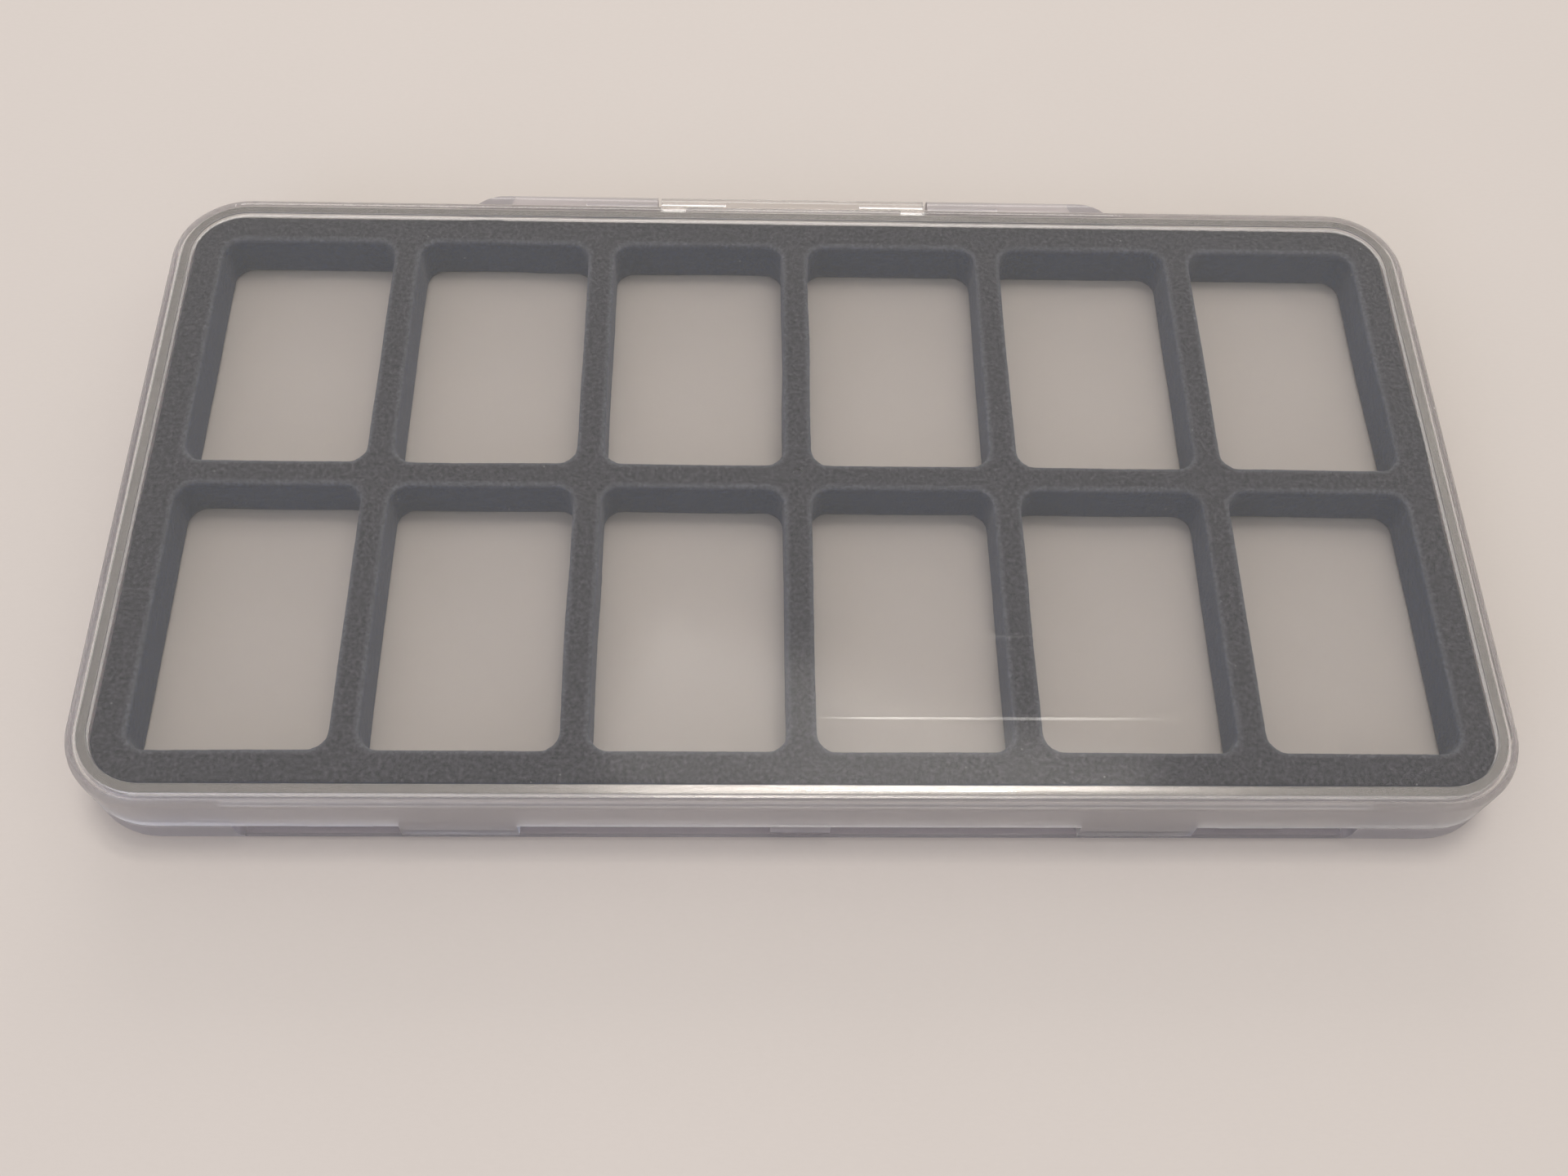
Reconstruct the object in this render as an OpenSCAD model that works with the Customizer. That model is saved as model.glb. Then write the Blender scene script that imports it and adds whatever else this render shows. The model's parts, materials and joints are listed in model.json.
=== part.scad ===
// Slim hinged wet palette. A clear two-part case holds a damp sponge, a sheet of
// palette paper on it and a foam grid that divides the paper into paint wells.
// The origin is the centre of the tray's underside, +Z is up and the hinge is at +Y.

/* [Case] */
// Outside length of the closed case
case_l = 190; // [150:1:230]
// Outside width of the closed case, without the hinge
case_w = 100; // [80:1:125]
// Radius of the case's corners, seen from above
corner_r = 11; // [9.5:0.5:15]
// Radius that rounds the lid's top edge
lid_edge_r = 2; // [1:0.1:2.4]
// Radius that rounds the tray's bottom edge
tray_edge_r = 1.2; // [0.6:0.1:1.5]
// Thickness of the tray's floor
floor_t = 1.3; // [1:0.1:2]
// Thickness of the lid's top
lid_top_t = 1.2; // [1:0.1:2]
// Thickness of the lid's skirt
skirt_t = 1.3; // [1:0.1:1.6]
// Thickness of the tray's inner wall, which stands up inside the skirt
wall_t = 1.1; // [0.8:0.1:1.4]
// Height of the seam between tray and lid above the table
seam_z = 4.8; // [4:0.1:5.4]

/* [Fits] */
// Gap between the lid's skirt and the tray's inner wall
skirt_gap = 0.5; // [0.45:0.05:0.7]
// Gap between the lid's lower edge and the tray's ledge
seam_gap = 0.15; // [0.1:0.05:0.3]
// Gap between the foam and the tray's inner wall
foam_side_gap = 0.4; // [0.3:0.1:1]
// Gap between the foam's top and the lid
foam_top_gap = 0.3; // [0.2:0.1:1]
// Gap between the gasket and the top of the tray's inner wall
seal_gap = 0.1; // [0.05:0.05:0.3]
// Radial gap between a hinge pin and the lid's knuckle
pin_gap = 0.06; // [0.02:0.01:0.1]

/* [Filling] */
// Thickness of the sponge
sponge_t = 2.5; // [1.5:0.1:4]
// Thickness of the palette paper
paper_t = 0.2; // [0.1:0.05:0.4]
// Thickness of the foam grid
foam_t = 7.5; // [6:0.5:10]
// Radius of the foam's outer corners
foam_corner_r = 7; // [6.8:0.1:10]
// Width of the foam's outer border
foam_border = 4.6; // [3:0.1:8]
// Width of the foam bars between wells
foam_bar = 3.9; // [2.5:0.1:6]
// Wells along the case
wells_x = 6; // [2:1:8]
// Wells across the case
wells_y = 2; // [1:1:4]
// Radius of each well's corners
well_r = 2.7; // [1:0.1:4]

/* [Gasket] */
// Height of the gasket below the lid's ceiling
seal_h = 1; // [0.6:0.1:1.4]
// Depth of the gasket's seat in the lid's ceiling
seal_seat = 0.4; // [0.2:0.05:0.6]
// Gap on each side of the gasket in its seat
seal_side_gap = 0.05; // [0.02:0.01:0.1]

/* [Hinge] */
// Length of the whole hinge, with its tapered ends
hinge_l = 105; // [90:1:120]
// Length of the lid's knuckle, in the middle
lid_knuckle_l = 42; // [30:1:46]
// Length of solid web left at each end of the lid's knuckle
lid_web_l = 4; // [2:0.5:6]
// Length of solid web left between a tray knuckle's pocket and the lid's knuckle
tray_web_l = 4; // [2:0.5:6]
// Length of the pocket in each tray knuckle
tray_pocket_l = 18.6; // [8:0.2:19]
// Width of the pockets between the knuckles and the case
pocket_w = 1.2; // [0.8:0.1:1.2]
// Gap between the tray's hinge webs and the lid's lower edge
web_gap = 0.5; // [0.3:0.05:0.8]
// Gap between neighbouring knuckles
knuckle_gap = 0.6; // [0.3:0.1:1]
// Radius of the knuckles
knuckle_r = 2.4; // [2:0.1:2.5]
// Distance from the case's back to the hinge axis
hinge_offset = 3.3; // [3.1:0.1:4.2]
// Length over which each end of the hinge tapers into the case
hinge_taper_l = 11; // [8:1:14]
// Radius of the hinge pins
pin_r = 1; // [0.8:0.1:1.2]
// Length of each hinge pin
pin_l = 22; // [16:1:26]
// How much of each pin is in the lid's knuckle
pin_in_lid = 10; // [6:1:12]
// Gap between the end of a pin and the bottom of its bore in the lid's knuckle
pin_end_gap = 0.3; // [0.1:0.05:0.6]
// Bevel on the pins' ends
pin_bevel = 0.25; // [0.1:0.05:0.4]

/* [Front closure] */
// Length of the finger groove along the tray's front
groove_l = 148; // [120:1:148]
// Depth of the finger groove
groove_d = 1.6; // [1.4:0.1:1.8]
// Height of the groove's floor above the table
groove_z = 0.9; // [0.6:0.1:1.2]
// Radius of the groove's lower corners
groove_r = 1.9; // [1:0.1:2.2]
// Width of each snap tab
tab_l = 15.4; // [10:0.2:20]
// Distance from the middle to each snap tab's centre
tab_x = 44.8; // [30:0.2:48]
// Thickness of the snap tabs
tab_t = 1; // [0.8:0.1:1.1]
// Distance from the case's front to the snap tabs' outer faces
tab_inset = 0.1; // [0.05:0.05:0.2]
// Height of the snap tabs' lower ends above the groove's floor
tab_foot_gap = 0.7; // [0.4:0.1:1]
// How far the catch on each snap tab stands inwards
catch_d = 0.35; // [0.2:0.05:0.35]
// Height of each catch, and of the rib above it
catch_h = 0.8; // [0.6:0.1:0.9]
// Gap between a catch and its rib
catch_gap = 0.15; // [0.1:0.05:0.2]
// Width of the block in the middle of the groove
block_l = 8; // [6:0.2:12]
// How far the block stands out from the groove's wall
block_d = 1.2; // [0.8:0.1:1.3]
// Height of the block
block_h = 2.2; // [1.5:0.1:2.5]
// Width of the guide pads at the groove's ends
pad_l = 8.6; // [6:0.2:10]
// Distance from the middle to each guide pad's centre
pad_x = 60.7; // [58:0.1:64]
// How far the guide pads stand out from the groove's wall
pad_d = 0.5; // [0.3:0.1:0.8]
// Depth of the relief inside the skirt, behind the groove and behind the lid's knuckle
relief_d = 0.3; // [0.2:0.05:0.4]

/* [Details] */
// Radius of the moulding gate's mark on the lid
gate_r = 0.65; // [0.5:0.05:1.2]
// Depth of the moulding gate's mark
gate_d = 0.25; // [0.1:0.05:0.4]

/* [Hidden] */
$fn = 64;
cut = 1; // how far a cutter runs past the face that it cuts
bite = 0.6; // how far one solid runs into another that it is fused with

// The filling's levels, from the tray's floor up.
sponge_z = floor_t;
paper_z = sponge_z + sponge_t;
foam_z = paper_z + paper_t;
ceiling_z = foam_z + foam_t + foam_top_gap;
case_h = ceiling_z + lid_top_t;

// Insets from the case's outline, seen from above.
wall_out = skirt_t + skirt_gap;
wall_in = wall_out + wall_t;
foam_in = wall_in + foam_side_gap;
wall_top_z = ceiling_z - seal_h - seal_gap;
skirt_z = seam_z + seam_gap;
lid_inner_edge_r = 0.6;

// The well grid.
foam_l = case_l - 2 * foam_in;
foam_w = case_w - 2 * foam_in;
well_l = (foam_l - 2 * foam_border - (wells_x - 1) * foam_bar) / wells_x;
well_w = (foam_w - 2 * foam_border - (wells_y - 1) * foam_bar) / wells_y;

// The hinge. The axis is at half the case's height, so the open lid lies flat on the table.
back_y = case_w / 2;
front_y = -case_w / 2;
axis_y = back_y + hinge_offset;
axis_z = case_h / 2;
hinge_depth = hinge_offset + knuckle_r;
taper_arc_r = (pow(hinge_taper_l, 2) + pow(hinge_depth, 2)) / (2 * hinge_depth);
arm_t = 1.6; // thickness of the web that carries a knuckle
arm_low = 3.2; // how far below the axis the tray's web meets the tray
pocket_y = back_y + (hinge_offset - knuckle_r - pocket_w) / 2; // near side of the pockets

// The front closure.
groove_back_y = front_y + groove_d;
tab_z = groove_z + tab_foot_gap;
rib_z = tab_z + catch_h + catch_gap;
block_z = groove_z + (seam_z - groove_z - block_h) / 2;
pad_h = block_h;

clear_plastic = [0.86, 0.85, 0.82, 0.45];
gasket_colour = [0.9, 0.86, 0.8, 0.6];
foam_colour = [0.2, 0.21, 0.24];
sponge_colour = [0.16, 0.2, 0.32];
paper_colour = [0.93, 0.92, 0.88];

// Rounded rectangle of the case's outline, inset all round.
module outline(inset, r = undef) {
    radius = is_undef(r) ? corner_r - inset : r;
    rounded(case_l - 2 * inset, case_w - 2 * inset, radius);
}

// Rectangle with round corners, centred on the origin.
module rounded(l, w, r) {
    square([l - 2 * r, w], center = true);
    square([l, w - 2 * r], center = true);
    for (x = [-1, 1], y = [-1, 1])
        translate([x * (l / 2 - r), y * (w / 2 - r)]) circle(r);
}

// Side profile of a slab: x runs outwards from the corner's centre, y is the height.
module slab_profile(r, h, edge) {
    square([r, h - edge]);
    square([r - edge, h]);
    translate([r - edge, h - edge]) circle(edge);
}

// Slab with round corners and a rounded top edge, standing on z = 0.
module soft_slab(l, w, h, r, edge) {
    linear_extrude(h - edge) rounded(l, w, r);
    linear_extrude(h) rounded(l - 2 * edge, w - 2 * edge, r - edge);
    for (x = [-1, 1], y = [-1, 1])
        translate([x * (l / 2 - r), y * (w / 2 - r), 0])
            rotate_extrude() slab_profile(r, h, edge);
    for (side = [0, 1], turn = [0, 180])
        rotate([0, 0, turn + 90 * side])
            slab_side(side == 0 ? w : l, side == 0 ? l : w, h, r, edge);
}

// One straight side of a soft slab: depth is the slab's size towards that side, run is its length.
module slab_side(depth, run, h, r, edge) {
    translate([-(run / 2 - r), depth / 2 - r, 0])
        rotate([90, 0, 90])
            linear_extrude(run - 2 * r) slab_profile(r, h, edge);
}

// Bar along X from x0 to x1, with a profile drawn in Y and Z.
module along_x(x0, x1) {
    translate([x0, 0, 0]) rotate([90, 0, 90]) linear_extrude(x1 - x0) children();
}

// Plan of the whole hinge behind the case, with its tapered ends.
module hinge_plan() {
    straight = hinge_l / 2 - hinge_taper_l;
    translate([-straight, back_y - bite]) square([2 * straight, hinge_depth + bite]);
    for (side = [-1, 1])
        intersection() {
            translate([side * straight, back_y + hinge_depth - taper_arc_r]) circle(taper_arc_r);
            translate([side > 0 ? straight : -straight - hinge_taper_l, back_y - bite])
                square([hinge_taper_l, hinge_depth + bite]);
        }
}

// Everything of a knuckle's profile between x0 and x1 that lies within the hinge's plan.
module knuckle(x0, x1) {
    intersection() {
        along_x(x0, x1) children();
        translate([0, 0, -cut]) linear_extrude(case_h + 2 * cut) hinge_plan();
    }
}

// Profile of the tray's knuckles: a barrel on a web that rises from the tray's back.
module tray_knuckle_profile() {
    translate([axis_y, axis_z]) circle(knuckle_r);
    polygon([
        [back_y - bite, axis_z - arm_low - arm_t],
        [back_y - bite, seam_z - web_gap],
        [back_y, seam_z - web_gap],
        [axis_y - knuckle_r, axis_z],
        [axis_y, axis_z - knuckle_r],
    ]);
}

// Profile of the lid's knuckle: a barrel on a web that runs back from the skirt.
module lid_knuckle_profile() {
    translate([axis_y, axis_z]) circle(knuckle_r);
    translate([back_y - bite, axis_z + knuckle_r - arm_t])
        square([hinge_offset + bite, arm_t]);
    translate([back_y - bite, skirt_z])
        square([hinge_offset + bite - knuckle_r + arm_t / 2, axis_z + knuckle_r - skirt_z]);
}

// Bore for one pin, from the gap between two knuckles into the knuckle on one side.
module pin_bore(side, towards, depth, r) {
    start = side * (lid_knuckle_l / 2) + towards * side * (-knuckle_gap);
    translate([start, axis_y, axis_z])
        rotate([0, towards * side * 90, 0])
            cylinder(r = r, h = depth + knuckle_gap);
}

// Cutter for the pocket between a knuckle and the case, open upwards from the height z.
module hinge_pocket(x, l, z) {
    translate([x, pocket_y, z]) cube([l, pocket_w, case_h + cut - z]);
}

// Upright block that stands out from the groove's wall.
module groove_block(x, l, d, z, h) {
    translate([x - l / 2, groove_back_y - d, z]) cube([l, d + bite, h]);
}

// Cutter for the finger groove, open upwards at the seam.
module groove_cutter() {
    h = seam_z + cut - groove_z;
    translate([0, groove_back_y, 0]) rotate([90, 0, 0]) linear_extrude(groove_d + cut) {
        translate([-groove_l / 2, groove_z + groove_r]) square([groove_l, h - groove_r]);
        translate([-groove_l / 2 + groove_r, groove_z]) square([groove_l - 2 * groove_r, h]);
        for (side = [-1, 1])
            translate([side * (groove_l / 2 - groove_r), groove_z + groove_r]) circle(groove_r);
    }
}

module base_tray() {
    color(clear_plastic) difference() {
        union() {
            difference() {
                translate([0, 0, seam_z]) mirror([0, 0, 1])
                    soft_slab(case_l, case_w, seam_z, corner_r, tray_edge_r);
                groove_cutter();
            }
            linear_extrude_from(floor_t, wall_top_z) outline(wall_out);
            for (side = [-1, 1]) {
                inner = lid_knuckle_l / 2 + knuckle_gap;
                knuckle(side > 0 ? inner : -hinge_l / 2, side > 0 ? hinge_l / 2 : -inner)
                    tray_knuckle_profile();
                groove_block(side * tab_x, tab_l, catch_d, rib_z, catch_h);
                groove_block(side * pad_x, pad_l, pad_d, block_z, pad_h);
            }
            groove_block(0, block_l, block_d, block_z, block_h);
        }
        linear_extrude_from(floor_t, case_h) outline(wall_in);
        for (side = [-1, 1]) {
            near = lid_knuckle_l / 2 + knuckle_gap + tray_web_l;
            pin_bore(side, 1, pin_l - pin_in_lid, pin_r);
            hinge_pocket(side > 0 ? near : -near - tray_pocket_l, tray_pocket_l, 0);
        }
    }
}

// Straight extrusion between two heights.
module linear_extrude_from(z0, z1) {
    translate([0, 0, z0]) linear_extrude(z1 - z0) children();
}

// Snap tab below the skirt's front edge, with a sloped catch on its inside.
module snap_tab(x) {
    outer = front_y + tab_inset;
    along_x(x - tab_l / 2, x + tab_l / 2) polygon([
        [outer, skirt_z + bite],
        [outer, tab_z],
        [outer + tab_t, tab_z],
        [outer + tab_t + catch_d, tab_z + catch_h / 2],
        [outer + tab_t + catch_d, tab_z + catch_h],
        [outer + tab_t, tab_z + catch_h],
        [outer + tab_t, skirt_z + bite],
    ]);
}

module lid() {
    color(clear_plastic) difference() {
        union() {
            difference() {
                translate([0, 0, skirt_z])
                    soft_slab(case_l, case_w, case_h - skirt_z, corner_r, lid_edge_r);
                translate([0, 0, skirt_z - cut])
                    soft_slab(case_l - 2 * skirt_t, case_w - 2 * skirt_t, ceiling_z - skirt_z + cut,
                              corner_r - skirt_t, lid_inner_edge_r);
                relief(groove_l, front_y + skirt_t);
                relief(lid_knuckle_l, back_y - skirt_t);
            }
            knuckle(-lid_knuckle_l / 2, lid_knuckle_l / 2) lid_knuckle_profile();
            for (side = [-1, 1])
                snap_tab(side * tab_x);
        }
        linear_extrude_from(ceiling_z - cut, ceiling_z + seal_seat)
            seal_ring(seal_side_gap);
        for (side = [-1, 1])
            pin_bore(side, -1, pin_in_lid + pin_end_gap, pin_r + pin_gap);
        hinge_pocket(-lid_knuckle_l / 2 + lid_web_l, lid_knuckle_l - 2 * lid_web_l,
                     axis_z + knuckle_r - arm_t);
        translate([0, 0, case_h - gate_d]) cylinder(r = gate_r, h = gate_d + cut);
    }
}

// Shallow cutter on the inside of the skirt, centred on the face at y.
module relief(l, y) {
    translate([-l / 2, y - relief_d, skirt_z - cut])
        cube([l, 2 * relief_d, ceiling_z - seal_h - skirt_z + cut]);
}

// Plan of the gasket, as wide as the tray's inner wall, with spare room on both sides.
module seal_ring(spare = 0) {
    difference() {
        outline(wall_out - spare);
        outline(wall_in + spare);
    }
}

module lid_gasket() {
    color(gasket_colour)
        linear_extrude_from(ceiling_z - seal_h, ceiling_z + seal_seat) seal_ring();
}

// Pin across the gap between the lid's knuckle and the tray's knuckle on one side.
module hinge_pin(side) {
    color(clear_plastic)
        translate([side * (lid_knuckle_l / 2 - pin_in_lid), axis_y, axis_z])
            rotate([0, side * 90, 0]) {
                cylinder(r1 = pin_r - pin_bevel, r2 = pin_r, h = pin_bevel);
                translate([0, 0, pin_bevel]) cylinder(r = pin_r, h = pin_l - 2 * pin_bevel);
                translate([0, 0, pin_l - pin_bevel])
                    cylinder(r1 = pin_r, r2 = pin_r - pin_bevel, h = pin_bevel);
            }
}

module hydration_sponge() {
    color(sponge_colour)
        linear_extrude_from(sponge_z, sponge_z + sponge_t) outline(foam_in, foam_corner_r);
}

module palette_paper() {
    color(paper_colour)
        linear_extrude_from(paper_z, paper_z + paper_t) outline(foam_in, foam_corner_r);
}

module foam_well_grid() {
    color(foam_colour) linear_extrude_from(foam_z, foam_z + foam_t) difference() {
        outline(foam_in, foam_corner_r);
        for (i = [0 : wells_x - 1], j = [0 : wells_y - 1])
            translate([(i - (wells_x - 1) / 2) * (well_l + foam_bar),
                       (j - (wells_y - 1) / 2) * (well_w + foam_bar)])
                rounded(well_l, well_w, well_r);
    }
}

base_tray();
lid();
lid_gasket();
hinge_pin(-1);  // hinge_pin_left
hinge_pin(1);  // hinge_pin_right
hydration_sponge();
palette_paper();
foam_well_grid();
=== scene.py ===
"""Looks of the slim wet palette: a clear hinged case with a foam grid over palette paper.

Everything is in metres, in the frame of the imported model: +X along the case, +Y to the hinge, +Z up.
"""

import json
import math

import bpy
import numpy as np
from mathutils import Matrix, Vector, noise


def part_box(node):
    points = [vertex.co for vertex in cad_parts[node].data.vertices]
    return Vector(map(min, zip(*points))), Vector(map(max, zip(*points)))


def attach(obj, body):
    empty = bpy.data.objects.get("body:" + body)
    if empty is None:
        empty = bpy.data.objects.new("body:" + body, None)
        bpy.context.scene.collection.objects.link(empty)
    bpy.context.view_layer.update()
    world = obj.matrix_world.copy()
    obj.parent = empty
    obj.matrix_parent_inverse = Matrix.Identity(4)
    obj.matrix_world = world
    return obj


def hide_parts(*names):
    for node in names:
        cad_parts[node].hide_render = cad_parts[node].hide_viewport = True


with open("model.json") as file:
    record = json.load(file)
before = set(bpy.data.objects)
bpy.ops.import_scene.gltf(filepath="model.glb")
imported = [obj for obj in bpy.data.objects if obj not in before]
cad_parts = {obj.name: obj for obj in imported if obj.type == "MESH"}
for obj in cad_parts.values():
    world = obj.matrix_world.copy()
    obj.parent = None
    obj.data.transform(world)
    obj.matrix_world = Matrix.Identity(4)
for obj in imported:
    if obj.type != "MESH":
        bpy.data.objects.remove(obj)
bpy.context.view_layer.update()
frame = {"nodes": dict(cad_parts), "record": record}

MM = 0.001
MIDDLE = (0, 0, 0)

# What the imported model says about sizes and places.
foam_low, foam_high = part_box("foam_well_grid")
sponge_low, sponge_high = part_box("hydration_sponge")
well_boxes = [opening["box_m"] for opening in frame["record"]["physics"]["openings"]]

# What it doesn't say: corners, edges, and how far a well's stated box lies inside its cut.
PAD_CORNER = 7 * MM
WELL_CORNER = 2.7 * MM
WELL_INSET = 0.85 * MM
FOAM_EDGE = 0.3 * MM
FOAM_LIFT = 0.02 * MM
FOAM_FACE = 0.45 * MM
SPONGE_EDGE = 0.35 * MM
SPONGE_CLEAR = 0.03 * MM
SPONGE_SMALLER = 0.4 * MM
SPONGE_FACE = 0.8 * MM

# Unevenness: the foam's skin, the bend of a cut outline, and how far the painted highlight on the cut's rim
# reaches.
SKIN_DEPTH = 0.05 * MM
SKIN_SIZE = 0.7 * MM
BEND_REACH = 0.22 * MM
BEND_ACROSS = 16 * MM
BEND_ALONG = 19 * MM
RIM_HIGHLIGHT_REACH = 0.8 * MM

# Camera: its place, its lens and film width in millimetres, and its turns in degrees.
CAMERA_PLACE = (-8.8 * MM, -121.2 * MM, 201.8 * MM)
CAMERA_HEADING, CAMERA_TILT, CAMERA_ROLL = 3.7, 61.45, 3.64
CAMERA_LENS = 36.26
CAMERA_FILM = 36
CAMERA_NEAREST = 0.01

# Floor: a hair below the case, so that no two faces share a plane.
FLOOR_HALF = 2.0
FLOOR_TOP = -0.03 * MM

# Light: name, place, size, watts and colour of each lamp, and the room's own light.
LAMPS = (
    ("far_window", (-0.1, 1.15, 0.52), (0.9, 0.3), 3.0, (1.0, 0.97, 0.93)),
    ("ceiling_tube", (0.08, 0.25, 1.16), (0.33, 0.1), 3.2, (1.0, 0.96, 0.91)),
    ("window", (-0.55, -0.75, 0.42), (0.5, 0.4), 1.3, (0.6, 0.68, 1.0)),
)
ROOM_COLOUR = (1.0, 0.985, 0.97, 1)
ROOM_STRENGTH = 0.7


# --- Camera, floor and light -------------------------------------------------------------------

def make_camera():
    """Camera above the front edge, looking down at the case and turned a little clockwise."""
    data = bpy.data.cameras.new("camera")
    data.sensor_width = CAMERA_FILM
    data.lens = CAMERA_LENS
    data.clip_start = CAMERA_NEAREST
    camera = bpy.data.objects.new("camera", data)
    bpy.context.scene.collection.objects.link(camera)
    heading, tilt, roll = (math.radians(turn) for turn in (CAMERA_HEADING, CAMERA_TILT, CAMERA_ROLL))
    level = math.cos(tilt)
    ahead = Vector((math.sin(heading) * level, math.cos(heading) * level, -math.sin(tilt)))
    turn = ahead.to_track_quat("-Z", "Y").to_matrix().to_4x4() @ Matrix.Rotation(roll, 4, "Z")
    camera.matrix_world = Matrix.Translation(CAMERA_PLACE) @ turn
    bpy.context.scene.camera = camera


def make_floor(material):
    """Wide pale table top under the case."""
    mesh = bpy.data.meshes.new("table_top")
    signs = ((-1, -1), (1, -1), (1, 1), (-1, 1))
    corners = [(x * FLOOR_HALF, y * FLOOR_HALF, FLOOR_TOP) for x, y in signs]
    mesh.from_pydata(corners, [], [(0, 1, 2, 3)])
    mesh.materials.append(material)
    floor = bpy.data.objects.new("table_top", mesh)
    bpy.context.scene.collection.objects.link(floor)


def make_lamp(name, place, size, power, colour):
    """Rectangular soft lamp at a place, turned towards the case."""
    data = bpy.data.lights.new(name, "AREA")
    data.shape = "RECTANGLE"
    data.size, data.size_y = size
    data.energy = power
    data.color = colour
    lamp = bpy.data.objects.new(name, data)
    bpy.context.scene.collection.objects.link(lamp)
    lamp.location = place
    lamp.rotation_euler = (Vector(MIDDLE) - Vector(place)).to_track_quat("-Z", "Y").to_euler()


def make_light():
    """Even room light, a tube overhead, a low window behind and a cool one at the left front."""
    world = bpy.data.worlds.new("room_light")
    bpy.context.scene.world = world
    world.use_nodes = True
    background = world.node_tree.nodes["Background"]
    background.inputs["Color"].default_value = ROOM_COLOUR
    background.inputs["Strength"].default_value = ROOM_STRENGTH
    for lamp in LAMPS:
        make_lamp(*lamp)


# --- Shader groups that several materials share ------------------------------------------------

def socket(tree, side, name, kind, value=None):
    """Adds a named input or output to a shader node group."""
    made = tree.interface.new_socket(name=name, in_out=side, socket_type=kind)
    if value is not None:
        made.default_value = value


def new_group(name, inputs, outputs):
    """Empty shader node group with named inputs and outputs, and its two end nodes."""
    tree = bpy.data.node_groups.new(name, "ShaderNodeTree")
    for label, kind, value in inputs:
        socket(tree, "INPUT", label, kind, value)
    for label, kind in outputs:
        socket(tree, "OUTPUT", label, kind)
    return tree, tree.nodes.new("NodeGroupInput"), tree.nodes.new("NodeGroupOutput")


def add(tree, kind, values=None, **settings):
    """Adds one node, with its settings and the values or links of its inputs."""
    node = tree.nodes.new(kind)
    for key, value in settings.items():
        setattr(node, key, value)
    for key, value in (values or {}).items():
        if isinstance(value, bpy.types.NodeSocket):
            tree.links.new(value, node.inputs[key])
        else:
            node.inputs[key].default_value = value
    return node


def blend_colours(tree, factor, first, second):
    """Mix of two colours by a factor."""
    mix = tree.nodes.new("ShaderNodeMix")
    mix.data_type = "RGBA"
    for index, value in ((0, factor), (6, first), (7, second)):
        if isinstance(value, bpy.types.NodeSocket):
            tree.links.new(value, mix.inputs[index])
        else:
            mix.inputs[index].default_value = value
    return mix.outputs[2]


def noise_of(tree, place, size, detail=3.0, rough=0.5):
    """Noise whose blobs are about as wide as size."""
    made = add(tree, "ShaderNodeTexNoise", {"Vector": place, "Scale": 1 / size, "Detail": detail,
                                           "Roughness": rough})
    return made.outputs["Fac"]


def ramp(tree, value, low, high, to_low=0.0, to_high=1.0):
    """Value stretched from low..high to to_low..to_high, and held there."""
    made = add(tree, "ShaderNodeMapRange", {"Value": value, "From Min": low, "From Max": high,
                                           "To Min": to_low, "To Max": to_high})
    return made.outputs["Result"]


def maths(tree, operation, first, second):
    """Result of one operation on two values."""
    return add(tree, "ShaderNodeMath", {0: first, 1: second}, operation=operation).outputs[0]


def group_pores():
    """Fine open pores: a height for the bump and a mask that is 1 in the pits, for painted shade there."""
    tree, start, end = new_group(
        "open_pores",
        [("Place", "NodeSocketVector", None), ("Pore size", "NodeSocketFloat", 0.5 * MM)],
        [("Height", "NodeSocketFloat"), ("Pit shade", "NodeSocketFloat")],
    )
    scale = maths(tree, "DIVIDE", 1.0, start.outputs["Pore size"])
    cells = add(tree, "ShaderNodeTexVoronoi", {"Vector": start.outputs["Place"], "Scale": scale})
    grit = add(tree, "ShaderNodeTexNoise", {"Vector": start.outputs["Place"], "Scale": scale, "Detail": 4.0,
                                           "Roughness": 0.7})
    height = maths(tree, "ADD", maths(tree, "MULTIPLY", cells.outputs["Distance"], 0.5), grit.outputs["Fac"])
    tree.links.new(height, end.inputs["Height"])
    tree.links.new(ramp(tree, height, 0.95, 0.6), end.inputs["Pit shade"])
    return tree


def group_scratches():
    """Hairline scratches from handling, as a mask, in three crossing directions."""
    tree, start, end = new_group(
        "hairline_scratches",
        [("Place", "NodeSocketVector", None), ("Amount", "NodeSocketFloat", 0.5)],
        [("Scratches", "NodeSocketFloat")],
    )
    found = []
    for angle, spread in ((0.5, 9.0), (-0.9, 14.0), (1.35, 11.0)):
        turned = add(tree, "ShaderNodeMapping", {"Vector": start.outputs["Place"], "Rotation": (0, 0, angle),
                                                 "Scale": (spread, 900.0, spread)})
        lines = add(tree, "ShaderNodeTexNoise", {"Vector": turned.outputs["Vector"], "Scale": 1.0,
                                                 "Detail": 1.0})
        found.append(ramp(tree, lines.outputs["Fac"], 0.72, 0.76))
    together = maths(tree, "MAXIMUM", maths(tree, "MAXIMUM", found[0], found[1]), found[2])
    patches = ramp(tree, noise_of(tree, start.outputs["Place"], 30 * MM), 0.5, 0.65)
    mask = maths(tree, "MULTIPLY", maths(tree, "MULTIPLY", together, patches), start.outputs["Amount"])
    tree.links.new(mask, end.inputs["Scratches"])
    return tree


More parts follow.
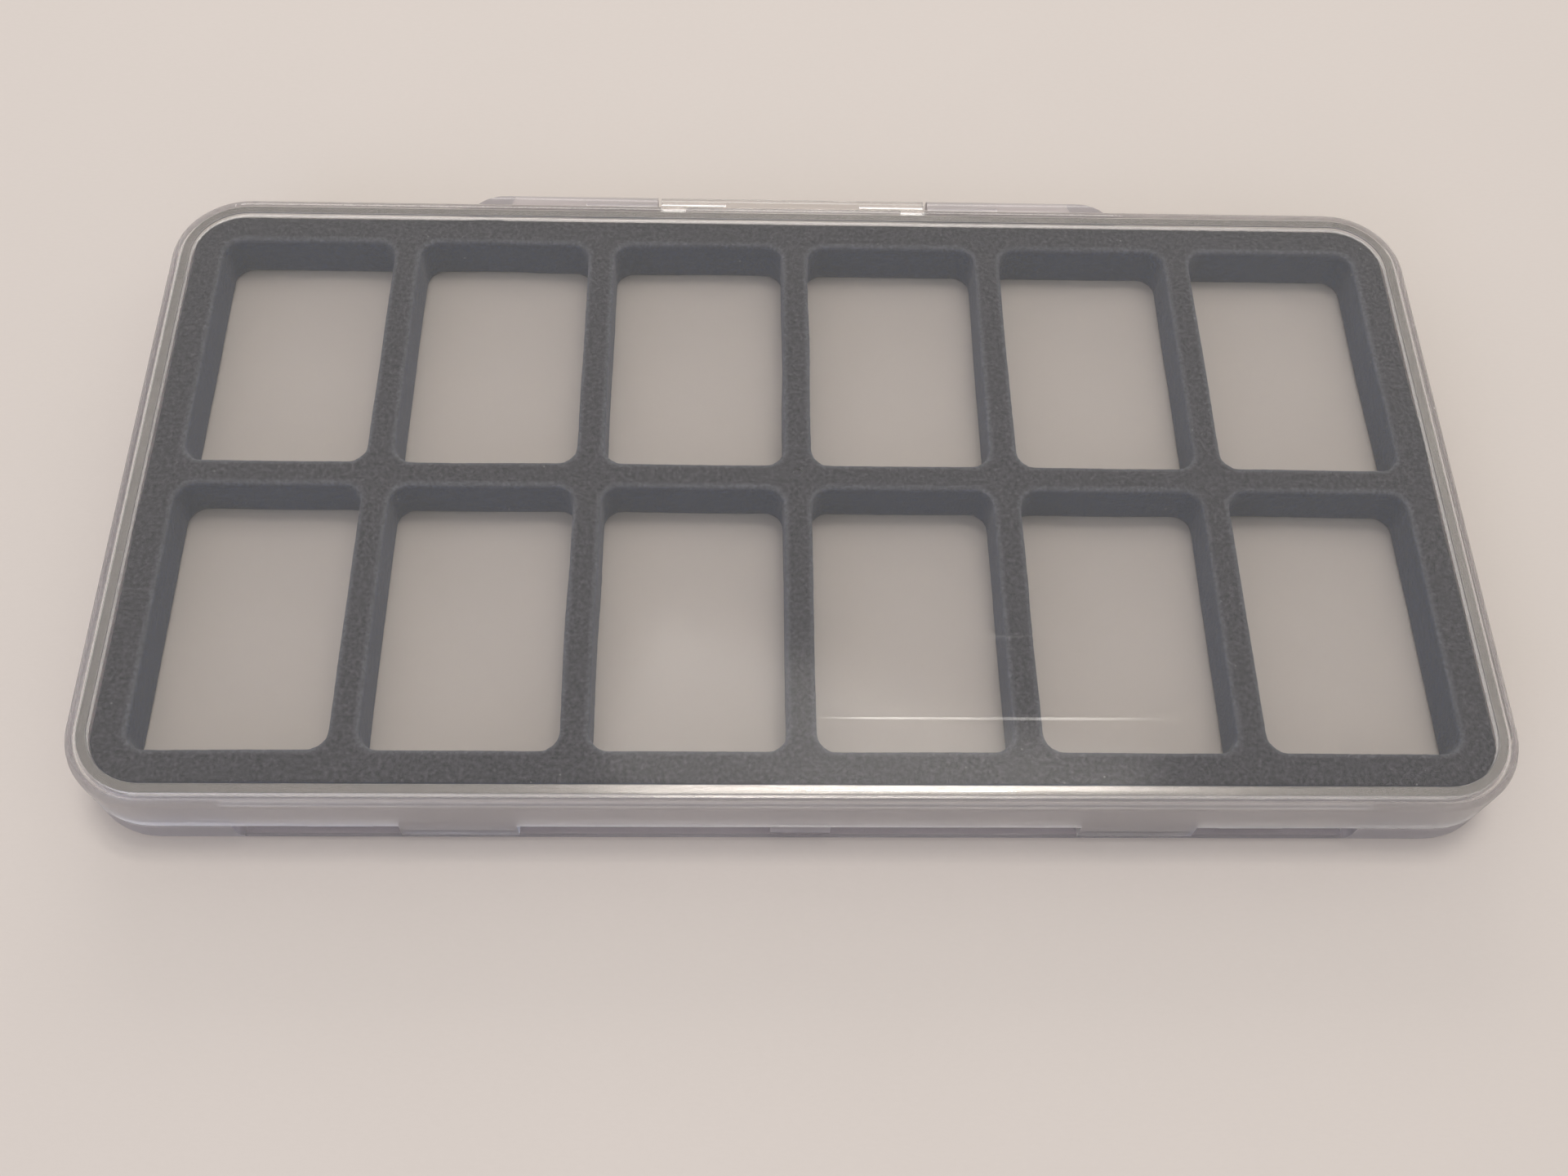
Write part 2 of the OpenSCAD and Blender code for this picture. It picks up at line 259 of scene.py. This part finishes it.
def group_moulding():
    """Moulded plastic: slow waves of the surface and a faint cloudiness that varies over it."""
    tree, start, end = new_group(
        "moulded_surface",
        [("Place", "NodeSocketVector", None), ("Wave size", "NodeSocketFloat", 12 * MM)],
        [("Height", "NodeSocketFloat"), ("Cloud", "NodeSocketFloat")],
    )
    scale = maths(tree, "DIVIDE", 1.0, start.outputs["Wave size"])
    place = start.outputs["Place"]
    wide = maths(tree, "MULTIPLY", scale, 0.3)
    waves = add(tree, "ShaderNodeTexNoise", {"Vector": place, "Scale": scale, "Detail": 1.0})
    cloud = add(tree, "ShaderNodeTexNoise", {"Vector": place, "Scale": wide, "Detail": 4.0})
    tree.links.new(waves.outputs["Fac"], end.inputs["Height"])
    tree.links.new(cloud.outputs["Fac"], end.inputs["Cloud"])
    return tree


def group_dust():
    """Scattered dust specks, as a mask."""
    tree, start, end = new_group(
        "dust_specks",
        [("Place", "NodeSocketVector", None), ("Speck size", "NodeSocketFloat", 0.15 * MM),
         ("Spacing", "NodeSocketFloat", 6 * MM)],
        [("Specks", "NodeSocketFloat")],
    )
    spacing = start.outputs["Spacing"]
    cells = add(tree, "ShaderNodeTexVoronoi", {"Vector": start.outputs["Place"],
                                              "Scale": maths(tree, "DIVIDE", 1.0, spacing)})
    reach = maths(tree, "DIVIDE", start.outputs["Speck size"], spacing)
    mask = maths(tree, "LESS_THAN", cells.outputs["Distance"], reach)
    tree.links.new(mask, end.inputs["Specks"])
    return tree


PORES, SCRATCHES, MOULDING, DUST = group_pores(), group_scratches(), group_moulding(), group_dust()


# --- Materials ---------------------------------------------------------------------------------

def new_material(name):
    """Material with an empty tree, its output and the place of the shaded point."""
    material = bpy.data.materials.new(name)
    material.use_nodes = True
    tree = material.node_tree
    tree.nodes.clear()
    output = tree.nodes.new("ShaderNodeOutputMaterial")
    place = tree.nodes.new("ShaderNodeTexCoord").outputs["Object"]
    return material, tree, output, place


def use(tree, group, **values):
    """Places a shader group in a material, with its own values."""
    node = tree.nodes.new("ShaderNodeGroup")
    node.node_tree = group
    for key, value in values.items():
        label = key.replace("_", " ")
        if isinstance(value, bpy.types.NodeSocket):
            tree.links.new(value, node.inputs[label])
        else:
            node.inputs[label].default_value = value
    return node


# Clear plastic: its moulded waves, its scratches, the lamp light that goes straight through one
# face, its dust, and how strongly it bends light.
WAVE_SIZE = 12 * MM
WAVE_STRENGTH = 0.02
WAVE_DEPTH = 0.5 * MM
SCRATCH_STRENGTH = 0.15
SCRATCH_DEPTH = 0.02 * MM
SCRATCH_BLUR = 0.3
LAMP_PASSES = (0.72, 0.72, 0.72, 1)
DUST_COLOUR = (0.5, 0.48, 0.45, 1)
PLASTIC_IOR = 1.49


def clear_plastic(name, pale, deep, roughness, haze, side_blur=0.0, scratched=0.35):
    """Cloudy clear plastic, more blurred through its upright walls. Lamps reach what it encloses."""
    material, tree, output, place = new_material(name)
    mould = use(tree, MOULDING, Place=place, Wave_size=WAVE_SIZE)
    marks = use(tree, SCRATCHES, Place=place, Amount=scratched)
    specks = use(tree, DUST, Place=place, Speck_size=0.1 * MM, Spacing=9 * MM)
    cloud, scratches = mould.outputs["Cloud"], marks.outputs["Scratches"]
    colour = blend_colours(tree, ramp(tree, cloud, 0.35, 0.65), pale, deep)
    dusty = maths(tree, "MULTIPLY", specks.outputs["Specks"], 0.5)
    colour = blend_colours(tree, dusty, colour, DUST_COLOUR)
    smooth = ramp(tree, cloud, 0.3, 0.7, roughness * 0.8, roughness * 1.2)
    rough = maths(tree, "ADD", smooth, maths(tree, "MULTIPLY", scratches, SCRATCH_BLUR))
    facing = tree.nodes.new("ShaderNodeTexCoord").outputs["Normal"]
    upward = add(tree, "ShaderNodeSeparateXYZ", {"Vector": facing}).outputs["Z"]
    level = maths(tree, "ABSOLUTE", upward, 0.0)
    rough = maths(tree, "ADD", rough, ramp(tree, level, 0.97, 0.6, 0.0, side_blur))
    waves = add(tree, "ShaderNodeBump", {"Strength": WAVE_STRENGTH, "Distance": WAVE_DEPTH,
                                         "Height": mould.outputs["Height"]})
    bump = add(tree, "ShaderNodeBump", {"Strength": SCRATCH_STRENGTH, "Distance": SCRATCH_DEPTH,
                                        "Height": scratches, "Normal": waves.outputs["Normal"]}, invert=True)
    plastic = add(tree, "ShaderNodeBsdfPrincipled", {
        "Base Color": colour,
        "Roughness": rough,
        "Normal": bump.outputs["Normal"],
        "IOR": PLASTIC_IOR,
        "Transmission Weight": 1 - haze,
    })
    lamp_side = add(tree, "ShaderNodeBsdfTransparent", {"Color": LAMP_PASSES})
    rays = tree.nodes.new("ShaderNodeLightPath")
    mix = add(tree, "ShaderNodeMixShader", {0: rays.outputs["Is Shadow Ray"], 1: plastic.outputs[0],
                                           2: lamp_side.outputs[0]})
    tree.links.new(mix.outputs[0], output.inputs["Surface"])
    return material


# Foam: dark and light ends of each mottled colour; the painted highlight on the rim, painted shade in the
# pits, and dust.
WALL_DARK, WALL_LIGHT = (0.012, 0.026, 0.07, 1), (0.03, 0.05, 0.115, 1)
SKIN_DARK, SKIN_LIGHT = (0.008, 0.009, 0.014, 1), (0.085, 0.082, 0.097, 1)
RIM_HIGHLIGHT_TINT = (0.15, 0.16, 0.19, 1)
PIT_SHADE = (0.012, 0.014, 0.018, 1)
SPECK_TINT = (0.34, 0.34, 0.34, 1)


def foam_material():
    """Dark grey fine-pored foam: greyer skin, bluer cut walls, a painted highlight on the cut's rim, painted
    shade in the pits.
    """
    material, tree, output, place = new_material("well_grid_foam")
    pores = use(tree, PORES, Place=place, Pore_size=0.45 * MM)
    specks = use(tree, DUST, Place=place, Speck_size=0.13 * MM, Spacing=4 * MM)
    facing = tree.nodes.new("ShaderNodeTexCoord").outputs["Normal"]
    upward = add(tree, "ShaderNodeSeparateXYZ", {"Vector": facing}).outputs["Z"]
    skin = ramp(tree, upward, 0.35, 0.8)
    rim = add(tree, "ShaderNodeAttribute", attribute_name="cut_rim_highlight").outputs["Fac"]
    mottle = ramp(tree, noise_of(tree, place, 0.55 * MM, 3.0, 0.7), 0.4, 0.66)
    walls = blend_colours(tree, mottle, WALL_DARK, WALL_LIGHT)
    top = blend_colours(tree, mottle, SKIN_DARK, SKIN_LIGHT)
    colour = blend_colours(tree, skin, walls, top)
    # Painted highlight along the cut rim, painted shade in the pores, and dust specks.
    for mask, share, tint in (
        (rim, 0.8, RIM_HIGHLIGHT_TINT),
        (pores.outputs["Pit shade"], 0.55, PIT_SHADE),
        (specks.outputs["Specks"], 0.5, SPECK_TINT),
    ):
        colour = blend_colours(tree, maths(tree, "MULTIPLY", mask, share), colour, tint)
    bump = add(tree, "ShaderNodeBump", {"Strength": 0.6, "Distance": 0.15 * MM,
                                        "Height": pores.outputs["Height"]})
    rough = ramp(tree, pores.outputs["Height"], 0.4, 1.0, 0.8, 0.98)
    foam = add(tree, "ShaderNodeBsdfPrincipled", {
        "Base Color": colour,
        "Roughness": rough,
        "Normal": bump.outputs["Normal"],
        "Specular IOR Level": 0.25,
        "Sheen Weight": 0.15,
        "Sheen Roughness": 0.4,
    })
    tree.links.new(foam.outputs[0], output.inputs["Surface"])
    return material


def sponge_material():
    """Fine-pored cellulose sponge, with painted shade in its pores."""
    material, tree, output, place = new_material("hydration_sponge")
    pores = use(tree, PORES, Place=place, Pore_size=0.9 * MM)
    tone = blend_colours(tree, noise_of(tree, place, 5 * MM), (0.5, 0.42, 0.2, 1), (0.62, 0.53, 0.28, 1))
    # Painted shade: the pits of the pores darkened to brown.
    colour = blend_colours(tree, pores.outputs["Pit shade"], tone, (0.25, 0.19, 0.07, 1))
    bump = add(tree, "ShaderNodeBump", {"Strength": 0.9, "Distance": 0.4 * MM,
                                        "Height": pores.outputs["Height"]})
    rough = ramp(tree, pores.outputs["Height"], 0.4, 1.0, 0.75, 0.95)
    sponge = add(tree, "ShaderNodeBsdfPrincipled", {"Base Color": colour, "Roughness": rough,
                                                    "Normal": bump.outputs["Normal"]})
    tree.links.new(sponge.outputs[0], output.inputs["Surface"])
    return material


def paper_material(name, pale, deep, fibre, cockle):
    """Smooth paper: long soft fibres, a faint mottle and slow waves."""
    material, tree, output, place = new_material(name)
    stretched = add(tree, "ShaderNodeMapping", {"Vector": place, "Scale": (1.0, 3.0, 1.0)}).outputs["Vector"]
    strands = noise_of(tree, stretched, fibre, 6.0, 0.65)
    clouds = noise_of(tree, place, cockle, 2.0)
    mottle = maths(tree, "ADD", maths(tree, "MULTIPLY", strands, 0.5), maths(tree, "MULTIPLY", clouds, 0.5))
    colour = blend_colours(tree, mottle, pale, deep)
    height = maths(tree, "ADD", maths(tree, "MULTIPLY", strands, 0.12), clouds)
    bump = add(tree, "ShaderNodeBump", {"Strength": 0.25, "Distance": 0.3 * MM, "Height": height})
    rough = ramp(tree, strands, 0.3, 0.7, 0.55, 0.75)
    paper = add(tree, "ShaderNodeBsdfPrincipled", {
        "Base Color": colour,
        "Roughness": rough,
        "Normal": bump.outputs["Normal"],
        "Specular IOR Level": 0.3,
    })
    tree.links.new(paper.outputs[0], output.inputs["Surface"])
    return material


# --- Outlines and soft pieces ------------------------------------------------------------------

def rounded_outline(length, width, radius, centre=(0.0, 0.0), step=0.6 * MM):
    """Points round a rectangle with arc corners, anticlockwise, about one step apart."""
    points = []
    corners = ((1, -1, -90), (1, 1, 0), (-1, 1, 90), (-1, -1, 180))
    turns = max(4, int(radius * math.pi / 2 / step))
    for across, along, start in corners:
        hub = Vector((across * (length / 2 - radius), along * (width / 2 - radius)))
        arc = [hub + radius * Vector((math.cos(a), math.sin(a)))
               for a in (math.radians(start + 90 * i / turns) for i in range(turns + 1))]
        if points:
            points += between(points[-1], arc[0], step)
        points += arc
    points += between(points[-1], points[0], step)
    return [p + Vector(centre) for p in points]


def between(first, last, step):
    """Points strictly between two ends, about one step apart."""
    count = max(1, int((last - first).length / step))
    return [first.lerp(last, i / count) for i in range(1, count)]


def slab_from_outlines(name, outlines, low, high, edge):
    """Closed slab between two heights, with the first outline as its edge and the rest as holes."""
    curve = bpy.data.curves.new(name, "CURVE")
    curve.dimensions = "2D"
    curve.fill_mode = "BOTH"
    for outline in outlines:
        spline = curve.splines.new("POLY")
        spline.points.add(len(outline) - 1)
        for point, place in zip(spline.points, outline):
            point.co = (place.x, place.y, 0, 1)
        spline.use_cyclic_u = True
    curve.extrude = (high - low) / 2 - edge
    curve.bevel_depth = edge
    curve.bevel_resolution = 2
    curve.offset = -edge
    drawn = bpy.data.objects.new(name + "_outline", curve)
    drawn.location.z = (low + high) / 2
    bpy.context.scene.collection.objects.link(drawn)
    bpy.context.view_layer.update()
    mesh = bpy.data.meshes.new_from_object(drawn.evaluated_get(bpy.context.evaluated_depsgraph_get()))
    mesh.transform(drawn.matrix_world)
    bpy.data.objects.remove(drawn)
    mesh.name = name
    piece = bpy.data.objects.new(name, mesh)
    bpy.context.scene.collection.objects.link(piece)
    return piece


def apply_modifiers(piece):
    """Bakes a piece's modifiers into its mesh."""
    bpy.context.view_layer.update()
    mesh = bpy.data.meshes.new_from_object(piece.evaluated_get(bpy.context.evaluated_depsgraph_get()))
    old = piece.data
    piece.modifiers.clear()
    piece.data = mesh
    bpy.data.meshes.remove(old)


def remesh(piece, voxel):
    """Rebuilds a closed piece from small even faces."""
    modifier = piece.modifiers.new("even_faces", "REMESH")
    modifier.mode = "VOXEL"
    modifier.voxel_size = voxel
    modifier.use_smooth_shade = True
    apply_modifiers(piece)


def coordinates(mesh):
    """A mesh's points as an array."""
    flat = np.zeros(len(mesh.vertices) * 3)
    mesh.vertices.foreach_get("co", flat)
    return flat.reshape(-1, 3)


def wobble(places, size):
    """Smooth noise from -1 to 1 at each place, with waves about as wide as size."""
    offset = Vector((17.3, 5.1, 29.7))
    return np.array([noise.noise(Vector(place) / size + offset) for place in places])


def make_foam(material):
    """Foam well grid: die-cut windows with slightly wavy walls, soft rims with a painted highlight, and a
    fine-pored skin.
    """
    length, width = foam_high.x - foam_low.x, foam_high.y - foam_low.y
    outlines = [rounded_outline(length, width, PAD_CORNER)]
    for low, high in well_boxes:
        size = [high[i] - low[i] + 2 * WELL_INSET for i in (0, 1)]
        centre = ((high[0] + low[0]) / 2, (high[1] + low[1]) / 2)
        outlines.append(rounded_outline(size[0], size[1], WELL_CORNER, centre))
    outlines = [[bend_wall(point) for point in outline] for outline in outlines]
    foam = slab_from_outlines("foam_grid", outlines, foam_low.z + FOAM_LIFT, foam_high.z, FOAM_EDGE)
    remesh(foam, FOAM_FACE)
    roughen(foam.data, SKIN_DEPTH, SKIN_SIZE)
    # Mask for the painted highlight along the top edge of each well.
    mark_rim_highlight(foam.data)
    foam.data.materials.append(material)
    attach(foam, "tray")
    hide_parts("foam_well_grid")


def bend_wall(point):
    """Moves a point of the die-cut outline by a little, as the soft foam was cut."""
    place = Vector((point.x, point.y, 0))
    sideways = noise.noise(place / BEND_ACROSS) * BEND_REACH
    lengthways = noise.noise(place / BEND_ALONG + Vector((7, 3, 1))) * BEND_REACH
    return point + Vector((sideways, lengthways))


def roughen(mesh, depth, size):
    """Moves the points in and out a little along their normals."""
    places = coordinates(mesh)
    normals = np.zeros(len(mesh.vertices) * 3)
    mesh.vertices.foreach_get("normal", normals)
    moved = places + normals.reshape(-1, 3) * (wobble(places, size) * depth)[:, None]
    mesh.vertices.foreach_set("co", moved.ravel())
    mesh.update()


def mark_rim_highlight(mesh):
    """Stores how close each point lies to the cut rim at the top of a well, as the mask of the painted
    highlight there.
    """
    places = coordinates(mesh)
    nearest = np.full(len(places), 1.0)
    for low, high in well_boxes:
        half = [(high[i] - low[i]) / 2 + WELL_INSET - WELL_CORNER for i in (0, 1)]
        across = np.abs(places[:, 0] - (high[0] + low[0]) / 2) - half[0]
        along = np.abs(places[:, 1] - (high[1] + low[1]) / 2) - half[1]
        outside = np.hypot(np.maximum(across, 0), np.maximum(along, 0))
        away = outside + np.minimum(np.maximum(across, along), 0) - WELL_CORNER
        nearest = np.minimum(nearest, np.abs(away))
    below = np.maximum(foam_high.z - places[:, 2], 0)
    closeness = np.clip(1 - np.hypot(nearest, below) / RIM_HIGHLIGHT_REACH, 0, 1)
    rim = mesh.attributes.new("cut_rim_highlight", "FLOAT", "POINT")
    rim.data.foreach_set("value", closeness)


def make_sponge(material):
    """Sponge under the paper, with soft edges and an uneven cut side."""
    length = sponge_high.x - sponge_low.x - SPONGE_SMALLER
    width = sponge_high.y - sponge_low.y - SPONGE_SMALLER
    outline = [bend_wall(point) for point in rounded_outline(length, width, PAD_CORNER)]
    bottom, top = sponge_low.z + SPONGE_CLEAR, sponge_high.z - SPONGE_CLEAR
    sponge = slab_from_outlines("wet_sponge", [outline], bottom, top, SPONGE_EDGE)
    remesh(sponge, SPONGE_FACE)
    sponge.data.materials.append(material)
    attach(sponge, "tray")
    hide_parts("hydration_sponge")


def finish_node(name, material):
    """Gives a CAD node its material."""
    node = frame["nodes"][name]
    node.data.materials.clear()
    node.data.materials.append(material)


make_camera()
make_light()
make_floor(paper_material("table_paper", pale=(0.7, 0.635, 0.59, 1), deep=(0.66, 0.6, 0.555, 1),
                          fibre=1.2 * MM, cockle=40 * MM))

lid_plastic = clear_plastic("lid_plastic", pale=(0.965, 0.94, 0.925, 1), deep=(0.95, 0.925, 0.91, 1),
                            roughness=0.03, haze=0.015, side_blur=0.45)
tray_plastic = clear_plastic("tray_plastic", pale=(0.8, 0.755, 0.765, 1), deep=(0.76, 0.72, 0.73, 1),
                             roughness=0.14, haze=0.28, side_blur=0.4)
pin_plastic = clear_plastic("pin_plastic", pale=(0.97, 0.96, 0.94, 1), deep=(0.95, 0.94, 0.92, 1),
                            roughness=0.1, haze=0.15)
gasket_rubber = clear_plastic("gasket_rubber", pale=(0.96, 0.95, 0.93, 1), deep=(0.94, 0.93, 0.91, 1),
                              roughness=0.12, haze=0.1, scratched=0.1)
palette_sheet = paper_material("palette_sheet", pale=(0.45, 0.42, 0.39, 1), deep=(0.428, 0.4, 0.37, 1),
                               fibre=0.8 * MM, cockle=25 * MM)

finish_node("base_tray", tray_plastic)
finish_node("lid", lid_plastic)
finish_node("lid_gasket", gasket_rubber)
finish_node("hinge_pin_left", pin_plastic)
finish_node("hinge_pin_right", pin_plastic)
finish_node("palette_paper", palette_sheet)
make_foam(foam_material())
make_sponge(sponge_material())

bpy.context.scene.view_settings.view_transform = "Standard"
